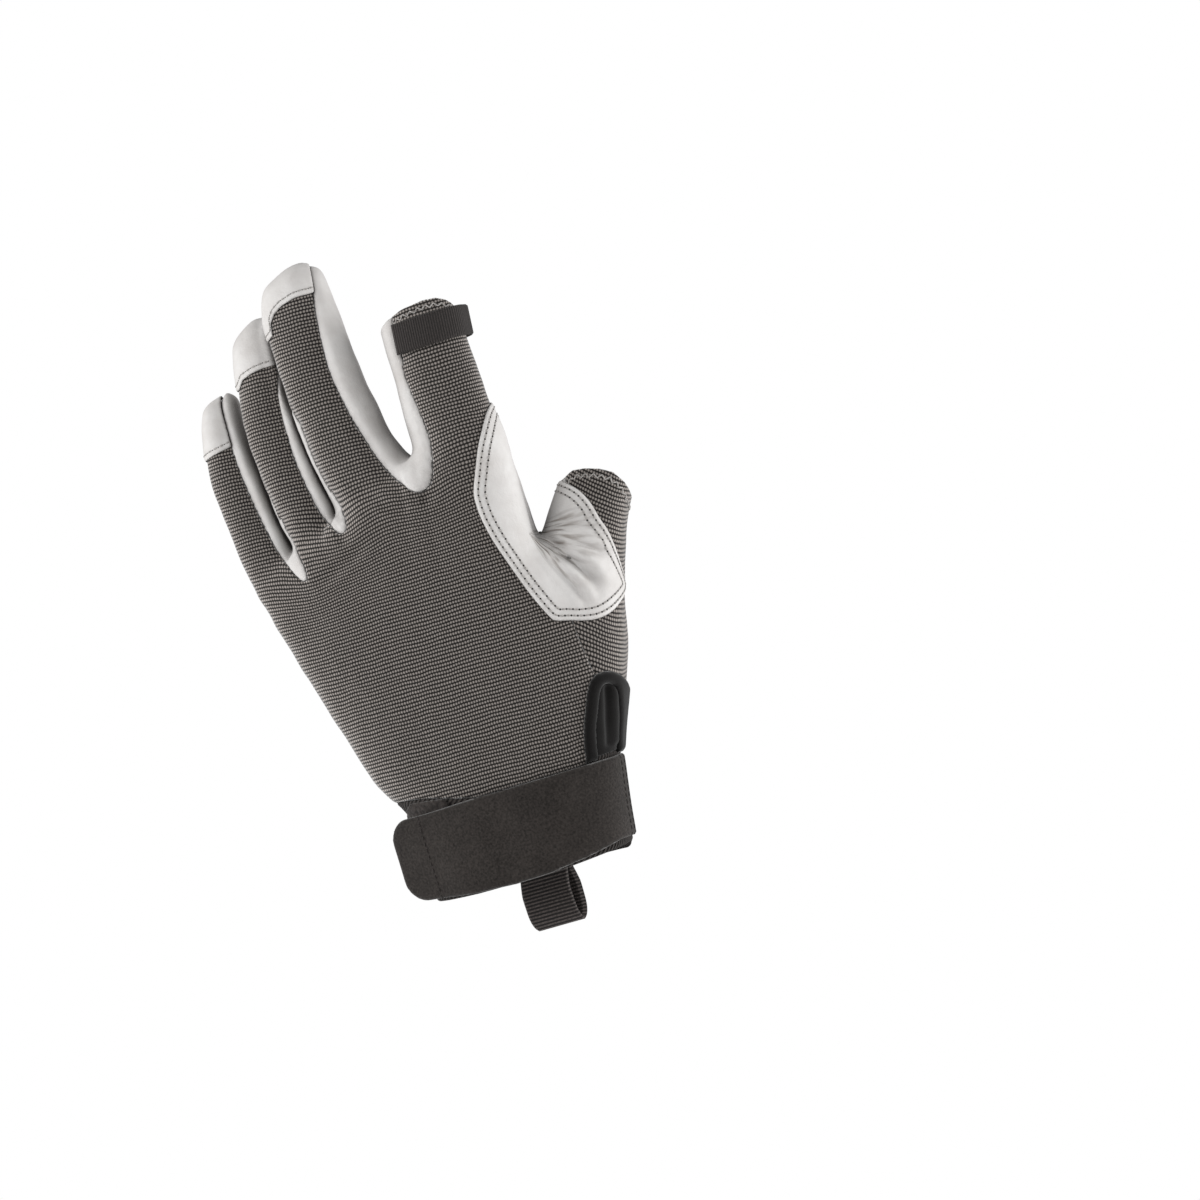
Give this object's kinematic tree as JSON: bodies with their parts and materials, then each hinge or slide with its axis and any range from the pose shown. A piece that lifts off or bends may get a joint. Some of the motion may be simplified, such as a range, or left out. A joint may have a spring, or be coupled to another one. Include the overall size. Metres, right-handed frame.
{
  "type": "climbing glove",
  "caption": "Left climbing glove with an open thumb and index fingertip, leather palm and thumb patch, woven back, wrist strap and pull loop.",
  "frame": {"origin": "centre of the wrist mouth", "axes": "+Z from the wrist to the fingertips, +X to the thumb side, +Y out of the palm, -Y out of the back of the hand"},
  "size_m": [0.1523, 0.058, 0.2633],
  "materials": {
    "woven": "basket weave",
    "leather": "soft grain",
    "elastic": "ribbed elastic",
    "brushed": "brushed loop",
    "webbing": "woven webbing"
  },
  "bodies": {
    "root": {"back_panel": "woven", "thumb_panel": "woven", "palm_panel": "leather", "strip_index_middle": "leather", "strip_middle_ring": "leather", "strip_ring_little": "leather", "cap_middle": "leather", "cap_ring": "leather", "cap_little": "leather", "thumb_patch": "leather", "cuff_band": "elastic", "loop_pad": "brushed", "closure_strap": "brushed", "vent_binding": "elastic", "pull_loop": "webbing", "index_tab": "elastic"}
  },
  "joints": []
}
